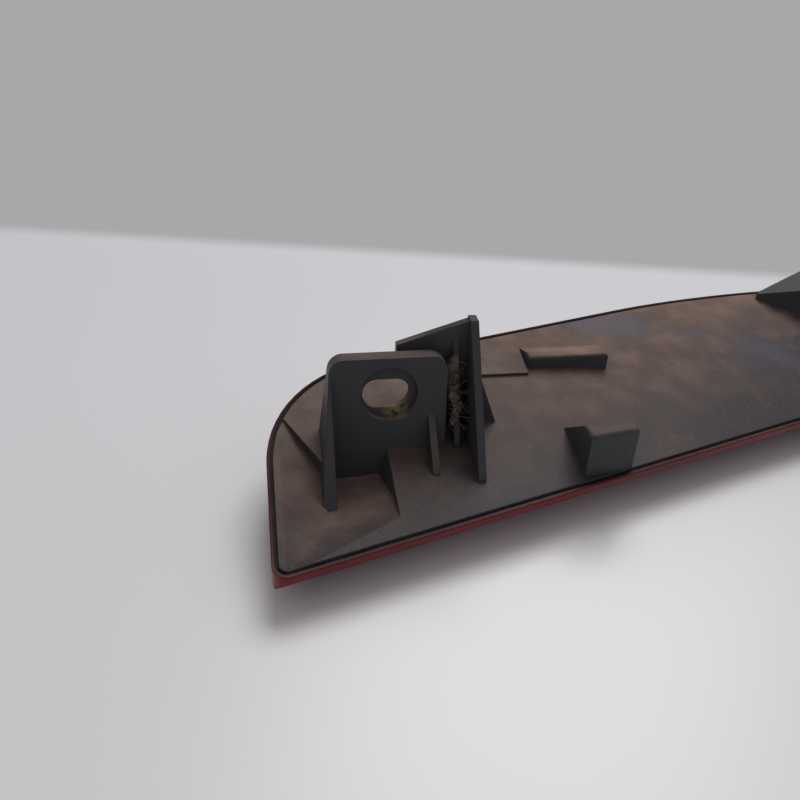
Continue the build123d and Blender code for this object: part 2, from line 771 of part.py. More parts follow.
# ------------------------------------------------------------------ board and what is soldered to it
pin_spots = [(-PIN_PITCH / 2, socket_y), (PIN_PITCH / 2, socket_y)]
with BuildPart() as led_board:
    with BuildSketch(Plane.XY.offset(BOARD_Z)):
        add(strip(BOARD_NEAR, BOARD_FAR, BOARD_HALF))
        with Locations(*screw_places):
            Circle(SCREW_RADIUS + HOLE_GAP, mode=Mode.SUBTRACT)
        with Locations(*pin_spots):
            Circle(PIN_SIZE * 0.8, mode=Mode.SUBTRACT)
    extrude(amount=BOARD_THICK)


def led(place):
    """Surface-mount LED hanging under the board, its round emitter facing the lens."""
    length, width, height = LED_SIZE
    with BuildPart() as package:
        with BuildSketch(Plane.XY.offset(BOARD_Z - height)):
            with Locations(place):
                Rectangle(length, width)
        extrude(amount=height)
        with BuildSketch(Plane.XY.offset(BOARD_Z - height)):
            with Locations(place):
                Circle(width * 0.4)
        extrude(amount=height / 4, mode=Mode.SUBTRACT)
    return package.part


def chip(spots, across, length, width, height):
    """Chips on the upper side of the board."""
    with BuildPart() as bodies:
        with BuildSketch(Plane.XY.offset(BOARD_TOP)):
            with Locations(*places(spots, across)):
                Rectangle(length, width)
        extrude(amount=height)
    return bodies.part


resistors = chip(RESISTOR_ALONG, CHIP_ACROSS, 3.2, 1.6, 0.6)
protection_diode = chip((DIODE_ALONG,), CHIP_ACROSS, 4.3, 2.6, 1.6)
filter_capacitor = chip((CAPACITOR_ALONG,), CHIP_ACROSS, 3.2, 2.5, 1.4)

with BuildPart() as board_screws:
    with BuildSketch(Plane.XY.offset(TRAY_BOTTOM - HEAD_HEIGHT)):
        with Locations(*screw_places):
            Circle(HEAD_RADIUS)
    extrude(amount=HEAD_HEIGHT)
    with BuildSketch(Plane.XY.offset(TRAY_BOTTOM)):
        with Locations(*screw_places):
            Circle(SCREW_RADIUS)
    extrude(amount=SCREW_LENGTH)
    with BuildSketch(Plane.XY.offset(TRAY_BOTTOM - HEAD_HEIGHT)):
        with Locations(*screw_places):
            RegularPolygon(HEAD_RADIUS / 2, 6)
    extrude(amount=HEAD_HEIGHT / 2, mode=Mode.SUBTRACT)

# ------------------------------------------------------------------ connector
seat_z = ROOF_HEIGHT + SEAL_THICK
rim_z = seat_z + FLANGE_THICK + SOCKET_DEPTH - SOCKET_FLOOR
cavity_z = rim_z - SOCKET_DEPTH
with BuildPart() as connector_seal:
    with BuildSketch(Plane.XY.offset(ROOF_HEIGHT)):
        with Locations((0, socket_y)):
            RectangleRounded(FLANGE_LENGTH - 1.0, FLANGE_WIDTH - 1.0, 1.4)
            RectangleRounded(SOCKET_LENGTH + HOLE_GAP, SOCKET_WIDTH + HOLE_GAP, 1.0, mode=Mode.SUBTRACT)
    extrude(amount=SEAL_THICK)

with BuildPart() as connector_socket:
    with BuildSketch(Plane.XY.offset(ROOF_HEIGHT - 2 * WALL)):
        with Locations((0, socket_y)):
            RectangleRounded(SOCKET_LENGTH, SOCKET_WIDTH, 1.0)
    extrude(amount=rim_z - ROOF_HEIGHT + 2 * WALL)
    with BuildSketch(Plane.XY.offset(seat_z)):
        with Locations((0, socket_y)):
            RectangleRounded(FLANGE_LENGTH, FLANGE_WIDTH, 1.8)
    extrude(amount=FLANGE_THICK)
    with BuildSketch(Plane.XY.offset(cavity_z)):
        with Locations((0, socket_y)):
            RectangleRounded(SOCKET_LENGTH - 2 * SOCKET_WALL, SOCKET_WIDTH - 2 * SOCKET_WALL, 0.6)
    extrude(amount=SOCKET_DEPTH, mode=Mode.SUBTRACT)
    # latch step on the front of the shroud
    with BuildSketch(Plane.XY.offset(rim_z - LATCH_DOWN)):
        with Locations((0, socket_y - SOCKET_WIDTH / 2 - LATCH_OUT / 2)):
            Rectangle(LATCH_WIDTH, LATCH_OUT)
    extrude(amount=LATCH_TALL)
    with BuildSketch(Plane.XY.offset(ROOF_HEIGHT - 2 * WALL)):
        with Locations(*pin_spots):
            Rectangle(PIN_SIZE + 2 * FIT_GAP, PIN_SIZE + 2 * FIT_GAP)
    extrude(amount=cavity_z - ROOF_HEIGHT + 2 * WALL, mode=Mode.SUBTRACT)


def terminal(spot):
    """Pin from the board, through the socket's floor, into its cavity."""
    with BuildPart() as pin:
        with BuildSketch(Plane.XY.offset(BOARD_Z)):
            with Locations(spot):
                Rectangle(PIN_SIZE, PIN_SIZE)
        extrude(amount=cavity_z + PIN_REACH - BOARD_Z)
        chamfer(edges().group_by(Axis.Z)[-1], PIN_SIZE / 5)
    return pin.part


# ------------------------------------------------------------------ vent
vent_depth = WALL * vent_plane.z_dir.Z
with BuildPart() as vent_cap:
    with BuildSketch(vent_plane):
        Circle(VENT_CAP)
    extrude(amount=VENT_CAP_THICK)
    chamfer(faces().sort_by(Axis.Z)[-1].edges(), VENT_CAP_THICK / 3)
    with BuildSketch(vent_plane):
        Circle(VENT_HOLE - FIT_GAP)
    extrude(amount=-vent_depth)
    with BuildSketch(vent_plane):
        with PolarLocations(VENT_CAP, 4):
            Rectangle(VENT_CAP, 1.2)
    extrude(amount=VENT_CAP_THICK / 2, mode=Mode.SUBTRACT)

with BuildPart() as vent_membrane:
    with BuildSketch(vent_plane.offset(-vent_depth)):
        Circle(VENT_HOLE + 1.5)
    extrude(amount=-0.3)

# ------------------------------------------------------------------ writing the pieces
pieces = {
    "housing": housing.part,
    "lens": lens.part,
    "weld_bead": weld_bead.part,
    "reflector_tray": reflector_tray.part,
    "inner_optic": inner_optic.part,
    "led_board": led_board.part,
    "resistors": resistors,
    "protection_diode": protection_diode,
    "filter_capacitor": filter_capacitor,
    "board_screws": board_screws.part,
    "connector_seal": connector_seal.part,
    "connector_socket": connector_socket.part,
    "terminal_positive": terminal(pin_spots[0]),
    "terminal_ground": terminal(pin_spots[1]),
    "vent_cap": vent_cap.part,
    "vent_membrane": vent_membrane.part,
}
for number, place in enumerate(led_places, 1):
    pieces[f"led_{number:02d}"] = led(place)

os.makedirs("parts", exist_ok=True)
for name, piece in pieces.items():
    piece.label = name
    export_step(piece, f"parts/{name}.step")
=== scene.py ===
# %% [markdown]
# # Third brake light, seen from its back
# A third brake light is a long, thin lamp that sits high on the back of a car. This one lies on its
# red lens, so its black moulded back looks up. The parts are already built as solids, in metres, and
# this lesson gives them their finishes, adds the dirt that years outdoors leave behind, and sets up a
# floor, a light and a camera.

# %% Load the frame
import bpy
import math
import random
from mathutils import Euler, Matrix, Vector


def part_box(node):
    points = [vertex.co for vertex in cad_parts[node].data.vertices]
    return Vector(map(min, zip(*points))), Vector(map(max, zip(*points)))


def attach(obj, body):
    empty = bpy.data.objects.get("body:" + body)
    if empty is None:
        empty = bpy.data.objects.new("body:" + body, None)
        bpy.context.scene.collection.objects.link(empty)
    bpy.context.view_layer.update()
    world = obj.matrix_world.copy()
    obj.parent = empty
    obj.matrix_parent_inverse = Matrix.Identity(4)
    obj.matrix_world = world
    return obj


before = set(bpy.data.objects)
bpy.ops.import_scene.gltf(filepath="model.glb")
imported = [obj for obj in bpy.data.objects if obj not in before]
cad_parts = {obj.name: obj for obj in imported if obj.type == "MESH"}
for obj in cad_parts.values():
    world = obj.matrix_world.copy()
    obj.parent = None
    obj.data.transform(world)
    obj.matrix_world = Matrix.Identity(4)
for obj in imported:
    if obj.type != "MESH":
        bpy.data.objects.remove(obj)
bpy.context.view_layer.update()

# %% [markdown]
# ## Small helpers for materials
# Colours are easiest to read as the hex values of a paint chart, which are sRGB. Shaders work in
# linear light, so one function turns the first into the second. A second function adds a node, sets
# it and links it, so that each finish below reads as a list of what it is made of.

# %% Colour and node helpers
MM = 0.001


def linear(hex_colour):
    """A shader colour from an sRGB hex value."""
    channels = [int(hex_colour[i:i + 2], 16) / 255 for i in (1, 3, 5)]
    return [c / 12.92 if c <= 0.04045 else ((c + 0.055) / 1.055) ** 2.4 for c in channels] + [1]


def add_node(tree, kind, inputs=None, **settings):
    """Adds a node; inputs are constants or the sockets that feed them."""
    made = tree.nodes.new("ShaderNode" + kind)
    for name, value in settings.items():
        setattr(made, name, value)
    for name, value in (inputs or {}).items():
        if isinstance(value, bpy.types.NodeSocket):
            tree.links.new(value, made.inputs[name])
        else:
            made.inputs[name].default_value = value
    return made


def new_finish(name):
    """An empty material and its tree, with the output and the main shader in place."""
    finish = bpy.data.materials.new(name)
    finish.use_nodes = True
    tree = finish.node_tree
    tree.nodes.clear()
    shader = add_node(tree, "BsdfPrincipled")
    add_node(tree, "OutputMaterial", {"Surface": shader.outputs[0]})
    return finish, tree, shader


def paint(finish, *names):
    """Gives the finish to solids, by assigning it to their material slots."""
    for name in names:
        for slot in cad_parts[name].material_slots:
            slot.material = finish


print("black reads as", [round(c, 3) for c in linear("#1C1C1E")])

# %% [markdown]
# ## Helpers for dirt
# Dirt follows a few simple rules: it settles on what faces up, it lies in patches, and it is rubbed
# off in spots. Each rule is a mask from 0 to 1. The rules are then added up with weights, and the sum
# says how much of one colour lies over another.

# %% Add up masks, lay colours over each other
def weigh(tree, start, *layers):
    """A start value plus each mask times its weight; a weight may be another mask."""
    total = start
    for mask, weight in layers:
        total = add_node(tree, "Math", {0: mask, 1: weight, 2: total}, operation="MULTIPLY_ADD").outputs[0]
    return total


def lay_over(tree, base, *layers):
    """Lays colours over a base in turn; each layer is a mask, a colour and a strength."""
    for mask, above, strength in layers:
        share = mask if strength == 1 else weigh(tree, 0.0, (mask, strength))
        below, above = [linear(c) if isinstance(c, str) else c for c in (base, above)]
        base = add_node(tree, "Mix", {0: share, 6: below, 7: above}, data_type="RGBA").outputs[2]
    return base


print("two ways to combine masks are ready")

# %% [markdown]
# Two masks are used again and again: soft patches, and a spot around a point. The patch size is given
# in millimetres. A noise texture on Object coordinates takes it as a scale of one over that size.

# %% Patches and spots
def patches(tree, coords, size_mm, detail=3.0, low=0.4, high=0.6):
    """Mask of soft patches of about this size."""
    noise = add_node(tree, "TexNoise", {"Vector": coords, "Scale": 1 / (size_mm * MM), "Detail": detail})
    spread = add_node(
        tree, "MapRange", {"Value": noise.outputs[0], "From Min": low, "From Max": high},
        interpolation_type="SMOOTHSTEP",
    )
    return spread.outputs[0]


def near_point(tree, coords, centre_mm, reach_mm, stretch=(1, 1, 1)):
    """Mask that is 1 at a point and fades to 0 at its reach; stretch lengthens it along X, Y or Z."""
    centre = [c * MM for c in centre_mm]
    squeeze = [1 / s for s in stretch]
    offset = add_node(tree, "VectorMath", {0: coords, 1: centre}, operation="SUBTRACT")
    scaled = add_node(tree, "VectorMath", {0: offset.outputs[0], 1: squeeze}, operation="MULTIPLY")
    distance = add_node(tree, "VectorMath", {0: scaled.outputs[0]}, operation="LENGTH")
    fade = add_node(
        tree, "MapRange",
        {"Value": distance.outputs[1], "From Min": 0.3 * reach_mm * MM, "From Max": reach_mm * MM,
         "To Min": 1.0, "To Max": 0.0},
        interpolation_type="SMOOTHSTEP",
    )
    return fade.outputs[0]


print("patch scale for 30 mm:", round(1 / (30 * MM), 1))

# %% [markdown]
# ## Where a point lies on the lamp
# The two wings of the lamp sweep forward, and the back rises from its near edge to its far edge. Three
# numbers place any point: how far it is from the centre plane, how far across the band, and how high
# over the floor once the rise of the back is taken away. All three follow from Object coordinates.

# %% Place across the band
SWEEP_SLOPE = math.tan(math.radians(17))
NEAR_LINE, FAR_LINE = 3.4, 42.2     # edges of the band, in mm across
BACK_RISE = 0.189                   # of the back, per millimetre across
PLATE_HEIGHT = 5.9                  # of the back above the floor, rise taken away, in mm


def band_place(tree, coords):
    """Distance from the centre plane, place across the band and levelled height, in metres."""
    place = add_node(tree, "SeparateXYZ", {0: coords})
    off_plane = add_node(tree, "Math", {0: place.outputs[0]}, operation="ABSOLUTE").outputs[0]
    across = weigh(tree, place.outputs[1], (off_plane, SWEEP_SLOPE))
    level = weigh(tree, place.outputs[2], (across, -BACK_RISE))
    return off_plane, across, level


def facing_up(tree):
    """How much the surface looks up: 1 on a floor, 0 on a wall."""
    normal = add_node(tree, "NewGeometry").outputs["Normal"]
    return add_node(tree, "SeparateXYZ", {0: normal}).outputs[2]


print("band runs from", NEAR_LINE, "to", FAR_LINE, "mm across")

# %% [markdown]
# ## The housing: black moulded ABS under years of dust
# The housing is injection-moulded ABS. Clean, it is a near-black plastic with a low, even sheen from
# the fine grain of the mould. Here a thin brown dust covers what faces up, thicker towards the tall
# rear edge, while the upright tab and fins stay dark. Painting the dust as a mask over the plastic
# keeps it the right way up on every wall, which a single colour can't do.

# %% Which way the housing faces
dusty_abs, tree, abs_shader = new_finish("dusty_moulded_abs")
coords = add_node(tree, "TexCoord").outputs["Object"]
off_plane, across, level = band_place(tree, coords)
upward = add_node(
    tree, "MapRange", {"Value": facing_up(tree), "From Min": 0.45, "From Max": 0.95},
    interpolation_type="SMOOTHSTEP",
).outputs[0]
rearward = add_node(
    tree, "MapRange", {"Value": across, "From Min": NEAR_LINE * MM, "From Max": FAR_LINE * MM},
).outputs[0]
print("two masks for the way it faces are ready")

# %% [markdown]
# Height matters too. Ledges that stand proud of the back catch dust, and the pocket beside the tab
# collects it, but the tall edges of the tab and fins are rinsed by rain. The centre tower stayed clean
# under its cover, so it is left out by its distance from the centre plane.

# %% What stands proud and what is sunk
TOWER_HALF = 21.0                       # half length of the centre tower, in mm
FIN_STARTS, TIP_STARTS = 8.0, 14.5      # heights over the back, in mm

proud = add_node(
    tree, "MapRange",
    {"Value": level, "From Min": PLATE_HEIGHT * MM, "From Max": (PLATE_HEIGHT + 1.2) * MM},
    interpolation_type="SMOOTHSTEP",
).outputs[0]
sunk = add_node(
    tree, "MapRange",
    {"Value": level, "From Min": (PLATE_HEIGHT - 3) * MM, "From Max": (PLATE_HEIGHT - 0.6) * MM,
     "To Min": 1.0, "To Max": 0.0},
).outputs[0]
tall, tip = [
    add_node(
        tree, "MapRange", {"Value": level, "From Min": (PLATE_HEIGHT + start) * MM,
                           "From Max": (PLATE_HEIGHT + start + 2) * MM},
    ).outputs[0]
    for start in (FIN_STARTS, TIP_STARTS)
]
on_wing = add_node(
    tree, "MapRange",
    {"Value": off_plane, "From Min": (TOWER_HALF - 0.4) * MM, "From Max": (TOWER_HALF + 0.4) * MM},
).outputs[0]
raised_on_wing = weigh(tree, 0.0, (proud, on_wing))
tower = weigh(tree, proud, (raised_on_wing, -1.0))
print("shape masks ready, nodes:", len(tree.nodes))

# %% [markdown]
# The dust is broken up in three sizes: cloudy patches about 26 mm wide, finer mottling of 5 mm, and
# grit of half a millimetre. Where hands or a cloth have wiped it, bluish-grey plastic shows through in
# long smears along the lamp.

# %% Dust, smears and grit
WIPED_SPOTS = (
    ((-58, 21, 15), 9, (2.2, 0.8, 1)),
    ((-22, 12, 11), 12, (1.9, 0.8, 1)),
    ((-38, 20, 13), 7, (2.4, 0.5, 1)),
)
clouds = patches(tree, coords, 26, detail=4, low=0.32, high=0.66)
mottle = patches(tree, coords, 5, detail=6, low=0.28, high=0.74)
grit = patches(tree, coords, 0.5, detail=2, low=0.55, high=0.72)
spots = [near_point(tree, coords, *spot) for spot in WIPED_SPOTS]
wiped = spots[0]
for spot in spots[1:]:
    wiped = add_node(tree, "Math", {0: wiped, 1: spot}, operation="MAXIMUM").outputs[0]
smears = weigh(tree, 0.0, (wiped, patches(tree, coords, 9, detail=4, low=0.35, high=0.6)))
cover = weigh(
    tree, -0.22, (rearward, 0.88), (clouds, 0.24), (mottle, 0.12), (raised_on_wing, 0.28),
    (sunk, 0.42), (smears, -0.65), (tower, -1.2), (tall, -0.35), (tip, -0.6),
)
cover = add_node(tree, "Math", {0: cover, 1: 0.05}, operation="MAXIMUM").outputs[0]
thin_film = add_node(tree, "Math", {0: upward, 1: cover}, operation="MULTIPLY", use_clamp=True).outputs[0]
print("dust sums", len(WIPED_SPOTS), "wiped spots and three sizes of patch")

# %% [markdown]
# Two small things make this lamp this lamp: a yellow-green smudge of old sealant at the bottom of the
# left fixing hole, and specks where drops have dried. The bare plastic is painted lighter on its upright
# faces, as painted light, and darker on faces that look up, as painted shade.

# %% Colour of the housing
SMUDGE = ((-103.8, -9.6, 15.4), 2.0, (1.3, 1, 1))
stain = weigh(tree, 0.0, (near_point(tree, coords, *SMUDGE), patches(tree, coords, 1.2, low=0.36, high=0.52)))
drops = add_node(tree, "TexVoronoi", {"Vector": coords, "Scale": 1 / (6.5 * MM)}, feature="F1")
speck = add_node(
    tree, "MapRange", {"Value": drops.outputs["Distance"], "From Min": 0.07, "From Max": 0.13,
                       "To Min": 1.0, "To Max": 0.0},
).outputs[0]
dust = lay_over(tree, "#6A574F", (mottle, "#806B61", 1))
# Painted light and shade: the first layer turns the plastic from a lighter grey on upright faces to a darker
# grey on faces that look up.
colour = lay_over(
    tree, "#3E3E41", (upward, "#2B292E", 1), (smears, "#3B3946", 1), (thin_film, dust, 1),
    (grit, "#9C8A7C", weigh(tree, 0.0, (upward, 0.08))), (stain, "#8D8A4A", 0.55),
    (speck, "#3A3634", weigh(tree, 0.0, (upward, 0.22))),
)
tree.links.new(colour, abs_shader.inputs["Base Color"])
print("housing coloured, nodes:", len(tree.nodes))

# %% [markdown]
# Roughness follows the dust, because dust scatters light and bare plastic keeps its sheen. The bump
# is the grain of the mould, 0.35 mm wide and drawn a little coarser than it is so that it shows, and
# a Bevel node rounds the sharp edges that a real mould never leaves.

# %% Sheen and grain of the housing
sheen_loss = add_node(tree, "MapRange", {"Value": thin_film, "To Min": 0.48, "To Max": 0.85}).outputs[0]
sheen_loss = weigh(tree, sheen_loss, (smears, -0.05))
grain = add_node(tree, "TexNoise", {"Vector": coords, "Scale": 1 / (0.35 * MM), "Detail": 2.0})
rounded = add_node(tree, "Bevel", {"Radius": 0.25 * MM}, samples=4)
bumps = add_node(
    tree, "Bump",
    {"Height": weigh(tree, grain.outputs[0], (mottle, 0.8)), "Distance": 0.05 * MM, "Strength": 0.5,
     "Normal": rounded.outputs[0]},
)
tree.links.new(sheen_loss, abs_shader.inputs["Roughness"])
tree.links.new(bumps.outputs[0], abs_shader.inputs["Normal"])
abs_shader.inputs["IOR"].default_value = 1.5
abs_shader.inputs["Specular IOR Level"].default_value = 0.18
paint(dusty_abs, "housing")
print("housing painted")

# %% [markdown]
# ## The lens: clear red acrylic
# Lamp lenses are moulded from PMMA, an acrylic with an index near 1.49 that is dyed through. Most
# light that goes in is swallowed by the dye and by the dark room behind it, so from outside it reads
# as a deep red with a sharp gloss, and only a fifth of the light is let through. Dirt gathers on the
# narrow ledge that looks up beside the bead, and fine scuffs dull the walls.

# %% Masks for the lens
red_acrylic, tree, acrylic_shader = new_finish("red_pmma_lens")
coords = add_node(tree, "TexCoord").outputs["Object"]
_, across, level = band_place(tree, coords)
film = patches(tree, coords, 14, detail=4, low=0.35, high=0.7)
scuffs = patches(tree, coords, 1.1, detail=3, low=0.58, high=0.7)
ledge = add_node(
    tree, "MapRange", {"Value": facing_up(tree), "From Min": 0.3, "From Max": 0.8},
).outputs[0]
under_rim = add_node(
    tree, "MapRange",
    {"Value": level, "From Min": (PLATE_HEIGHT - 1.1) * MM, "From Max": (PLATE_HEIGHT - 0.2) * MM},
    interpolation_type="SMOOTHSTEP",
).outputs[0]
rear_side = add_node(
    tree, "MapRange", {"Value": across, "From Min": NEAR_LINE * MM, "From Max": FAR_LINE * MM,
                       "To Min": 0.6, "To Max": 1.0},
).outputs[0]
rim_dirt = add_node(
    tree, "Math", {0: weigh(tree, 0.0, (under_rim, 0.6)), 1: weigh(tree, 0.0, (ledge, rear_side))},
    operation="MAXIMUM",
).outputs[0]
print("lens masks ready")

# %% Worn red acrylic
red = lay_over(
    tree, "#7A0A14", (film, "#680F17", 1), (scuffs, "#8C5A55", 0.12), (rim_dirt, "#1E0E0F", 1),
)
gloss = add_node(tree, "MapRange", {"Value": film, "To Min": 0.12, "To Max": 0.26}).outputs[0]
gloss = weigh(tree, gloss, (rim_dirt, 0.7), (scuffs, 0.12))
ripple = add_node(tree, "TexNoise", {"Vector": coords, "Scale": 1 / (3 * MM), "Detail": 1.0})
soft = add_node(tree, "Bevel", {"Radius": 0.4 * MM}, samples=4)
waves = add_node(
    tree, "Bump", {"Height": ripple.outputs[0], "Distance": 0.02 * MM, "Strength": 0.4,
                   "Normal": soft.outputs[0]},
)
tree.links.new(red, acrylic_shader.inputs["Base Color"])
tree.links.new(gloss, acrylic_shader.inputs["Roughness"])
tree.links.new(waves.outputs[0], acrylic_shader.inputs["Normal"])
acrylic_shader.inputs["IOR"].default_value = 1.49
acrylic_shader.inputs["Specular IOR Level"].default_value = 0.3
acrylic_shader.inputs["Transmission Weight"].default_value = 0.2
paint(red_acrylic, "lens")
print("lens painted")

# %% [markdown]
# ## The seam: a bead of black sealant
# Between lens and housing runs a bead of hot-melt butyl. It stays tacky for years, so dust sticks to
# it and takes most of its shine. It stays the blackest line on the lamp, with small lumps where it was
# squeezed out.

# %% Butyl sealant
butyl, tree, butyl_shader = new_finish("black_butyl_sealant")
coords = add_node(tree, "TexCoord").outputs["Object"]
lumpy = add_node(tree, "TexNoise", {"Vector": coords, "Scale": 1 / (1.8 * MM), "Detail": 2.0})
caught = patches(tree, coords, 4, low=0.5, high=0.7)
bead_bump = add_node(tree, "Bump", {"Height": lumpy.outputs[0], "Distance": 0.12 * MM, "Strength": 0.5})
tree.links.new(lay_over(tree, "#0A0A0B", (caught, "#2A2624", 0.5)), butyl_shader.inputs["Base Color"])
tree.links.new(bead_bump.outputs[0], butyl_shader.inputs["Normal"])
butyl_shader.inputs["Roughness"].default_value = 0.6
butyl_shader.inputs["Specular IOR Level"].default_value = 0.12
paint(butyl, "weld_bead")
print("bead painted")

# %% [markdown]
# ## Moulded and stamped small parts
# The small parts share one recipe: a base colour with a slow change across the part, a fine bump for
# the way its surface was made, and one roughness. One function holds the recipe, and each part brings
# its own real values: nylon for the socket, EPDM for the seal, tin plate for the pins, zinc plate for
# the screws.

# %% One recipe for small parts
def small_finish(name, dark, light, roughness, cloud_mm, grain_mm, depth_mm, metallic=0.0, ior=1.5):
    """A finish whose colour drifts between two values, with a bump of this size and depth."""
    finish, tree, shader = new_finish(name)
    coords = add_node(tree, "TexCoord").outputs["Object"]
    drift = patches(tree, coords, cloud_mm, low=0.3, high=0.7)
    fine = add_node(tree, "TexNoise", {"Vector": coords, "Scale": 1 / (grain_mm * MM), "Detail": 2.0})
    bump = add_node(tree, "Bump", {"Height": fine.outputs[0], "Distance": depth_mm * MM, "Strength": 0.5})
    tree.links.new(lay_over(tree, dark, (drift, light, 1)), shader.inputs["Base Color"])
    tree.links.new(weigh(tree, roughness - 0.06, (drift, 0.12)), shader.inputs["Roughness"])
    tree.links.new(bump.outputs[0], shader.inputs["Normal"])
    shader.inputs["Metallic"].default_value = metallic
    shader.inputs["IOR"].default_value = ior
    return finish


print("recipe for small parts ready")

# %% Plastics and rubbers outside the lamp
paint(small_finish("glass_filled_nylon_socket", "#19191B", "#2A2826", 0.5, 6, 0.3, 0.03), "connector_socket")
paint(small_finish("epdm_seal", "#141414", "#22201F", 0.75, 3, 0.25, 0.03), "connector_seal")
paint(small_finish("polypropylene_vent", "#222224", "#4A4440", 0.6, 4, 0.3, 0.03), "vent_cap")
paint(small_finish("eptfe_membrane", "#D8D8D4", "#E8E8E6", 0.8, 2, 0.2, 0.03), "vent_membrane")
print("socket, seal and vent painted")

# %% Metals and chips
paint(small_finish("tin_plated_pins", "#B9B6AD", "#D3D1CA", 0.3, 2, 0.3, 0.01, metallic=1.0),
      "terminal_positive", "terminal_ground")
paint(small_finish("zinc_plated_screws", "#8E9096", "#B4B6B9", 0.35, 1.5, 0.25, 0.01, metallic=1.0),
      "board_screws")
paint(small_finish("epoxy_chip_bodies", "#121213", "#1E1D1C", 0.45, 1.5, 0.2, 0.01),
      "resistors", "protection_diode")
paint(small_finish("ceramic_capacitor", "#8A6540", "#9E7A52", 0.4, 1.5, 0.2, 0.01), "filter_capacitor")
print("pins, screws and chips painted")

# %% [markdown]
# ## What the lens half hides
# Behind the lens are a white reflector moulded in glossy polycarbonate, a clear strip with a dome in
# front of each light, and a green circuit board with twelve small lights. The board's copper is drawn
# as straight tracks under the green lacquer: bands about 3 mm wide that run along the board.

# %% Reflector, light bodies and optic
paint(small_finish("white_polycarbonate_tray", "#DAD9D3", "#ECEBE7", 0.28, 20, 0.5, 0.01, ior=1.58),
      "reflector_tray")
paint(small_finish("white_light_bodies", "#D9D4C4", "#E9E6DC", 0.4, 2, 0.2, 0.01),
      *[f"led_{i:02d}" for i in range(1, 13)])

clear_acrylic, tree, optic_shader = new_finish("clear_pmma_optic")
coords = add_node(tree, "TexCoord").outputs["Object"]
flow = add_node(tree, "TexNoise", {"Vector": coords, "Scale": 1 / (5 * MM), "Detail": 1.0})
flow_bump = add_node(tree, "Bump", {"Height": flow.outputs[0], "Distance": 0.02 * MM, "Strength": 0.3})
tree.links.new(flow_bump.outputs[0], optic_shader.inputs["Normal"])
optic_shader.inputs["Base Color"].default_value = linear("#F2F4F4")
optic_shader.inputs["Roughness"].default_value = 0.05
optic_shader.inputs["IOR"].default_value = 1.49
optic_shader.inputs["Transmission Weight"].default_value = 1.0
paint(clear_acrylic, "inner_optic")
print("optics painted")

# %% Circuit board under green lacquer
TRACK_PITCH = 5.0       # from one track to the next
lacquer, tree, board_shader = new_finish("green_solder_mask_on_fr4")
coords = add_node(tree, "TexCoord").outputs["Object"]
_, across, _ = band_place(tree, coords)
turns = weigh(tree, 0.0, (across, 2 * math.pi / (TRACK_PITCH * MM)))
wave = add_node(tree, "Math", {0: turns}, operation="SINE").outputs[0]
track = add_node(tree, "Math", {0: wave, 1: -0.3}, operation="GREATER_THAN").outputs[0]
weave = add_node(tree, "TexNoise", {"Vector": coords, "Scale": 1 / (0.4 * MM), "Detail": 2.0})
board_bump = add_node(
    tree, "Bump", {"Height": weigh(tree, track, (weave.outputs[0], 0.4)), "Distance": 0.035 * MM,
                   "Strength": 0.6},
)
tree.links.new(lay_over(tree, "#12401F", (track, "#2A6A34", 1)), board_shader.inputs["Base Color"])
tree.links.new(board_bump.outputs[0], board_shader.inputs["Normal"])
board_shader.inputs["Roughness"].default_value = 0.3
paint(lacquer, "led_board")
print("board painted")

# %% [markdown]
# ## Helpers for new pieces
# An operator acts on all that is selected, so each new piece starts with nothing selected. A finished
# piece keeps its place in its mesh and its object at the origin, where patterns on Object coordinates
# expect it.

# %% Start, join and settle a piece
def start_piece():
    """Leaves nothing selected, as before adding a primitive by hand."""
    if bpy.context.object and bpy.context.object.mode != "OBJECT":
        bpy.ops.object.mode_set(mode="OBJECT")
    bpy.ops.object.select_all(action="DESELECT")


def join(parts):
    """Joins objects into the first of them."""
    start_piece()
    for part in parts:
        part.select_set(True)
    bpy.context.view_layer.objects.active = parts[0]
    bpy.ops.object.join()
    return parts[0]


def settle(piece, name, finish):
    """Puts the piece's place into its mesh, names it, gives it its finish and its body."""
    start_piece()
    piece.select_set(True)
    bpy.context.view_layer.objects.active = piece
    bpy.ops.object.transform_apply(location=True, rotation=True, scale=True)
    piece.name = name
    piece.data.materials.clear()
    piece.data.materials.append(finish)
    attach(piece, "root")
    print(name, "has", len(piece.data.polygons), "faces")


print("helpers for pieces ready")

# %% [markdown]
# ## Light domes
# Each light body has a small round well. In it sits a bead of silicone with yellow phosphor, which
# turns blue light white. A short cylinder is domed by insetting its bottom face twice and moving it
# out a little each time. It is made once and copied, because all twelve are the same.

# %% Model one phosphor bead
BEAD_RADIUS, BEAD_HEIGHT = 1.0, 0.26
RING_WIDTH = 0.35 * BEAD_RADIUS
RING_RISES = (0.10, 0.04)

start_piece()
bpy.ops.mesh.primitive_cylinder_add(vertices=28, radius=BEAD_RADIUS * MM, depth=BEAD_HEIGHT * MM)
bead = bpy.context.object
bpy.ops.object.mode_set(mode="EDIT")
bpy.ops.mesh.select_mode(type="FACE")
bpy.ops.mesh.select_all(action="DESELECT")
bpy.ops.object.mode_set(mode="OBJECT")
for face in bead.data.polygons:
    face.select = face.normal.z < -0.9
bpy.ops.object.mode_set(mode="EDIT")
for rise in RING_RISES:
    bpy.ops.mesh.inset(thickness=RING_WIDTH * MM)
    bpy.ops.transform.translate(value=(0, 0, -rise * MM))
bpy.ops.object.mode_set(mode="OBJECT")
bpy.ops.object.shade_smooth_by_angle(angle=math.radians(50))
print("bead faces:", len(bead.data.polygons))

